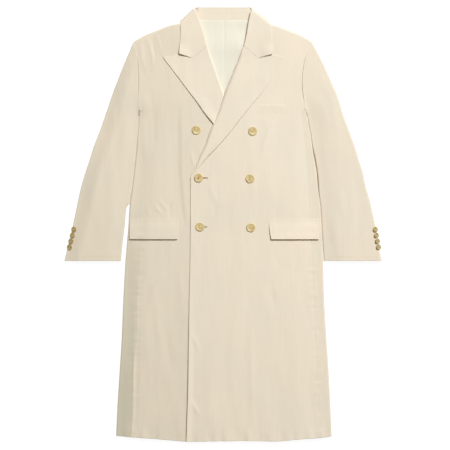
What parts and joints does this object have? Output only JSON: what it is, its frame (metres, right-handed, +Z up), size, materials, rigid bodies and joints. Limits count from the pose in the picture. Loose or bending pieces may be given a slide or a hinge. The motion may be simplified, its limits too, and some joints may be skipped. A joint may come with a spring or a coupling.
{
  "type": "coat",
  "caption": "Double-breasted long coat with peak lapels, flap pockets and breast welt, laid flat, buttoned",
  "frame": {"origin": "On the surface the coat lies on, below the middle of the coat's back", "axes": "+X to the wearer's left, +Y towards the collar, +Z up out of the surface"},
  "size_m": [0.8604, 1.1733, 0.0224],
  "materials": {
    "cloth": "matte woven, nap",
    "lining": "smooth twill",
    "horn": "polished"
  },
  "bodies": {
    "root": {"back": "cloth", "lining_back": "lining", "side_panel_right": "cloth", "side_panel_left": "cloth", "front_right": "cloth", "front_left": "cloth", "sleeve_right_upper": "cloth", "sleeve_right_under": "cloth", "sleeve_left_upper": "cloth", "sleeve_left_under": "cloth", "lapel_right": "cloth", "lapel_left": "cloth", "collar_stand": "cloth", "collar_fall": "cloth", "pocket_flap_right": "cloth", "pocket_flap_left": "cloth", "breast_welt": "cloth", "button_front_1": "horn", "button_front_2": "horn", "button_front_3": "horn", "button_front_4": "horn", "button_front_5": "horn", "button_front_6": "horn", "button_cuff_right_1": "horn", "button_cuff_right_2": "horn", "button_cuff_right_3": "horn", "button_cuff_right_4": "horn", "button_cuff_left_1": "horn", "button_cuff_left_2": "horn", "button_cuff_left_3": "horn", "button_cuff_left_4": "horn"}
  },
  "joints": []
}
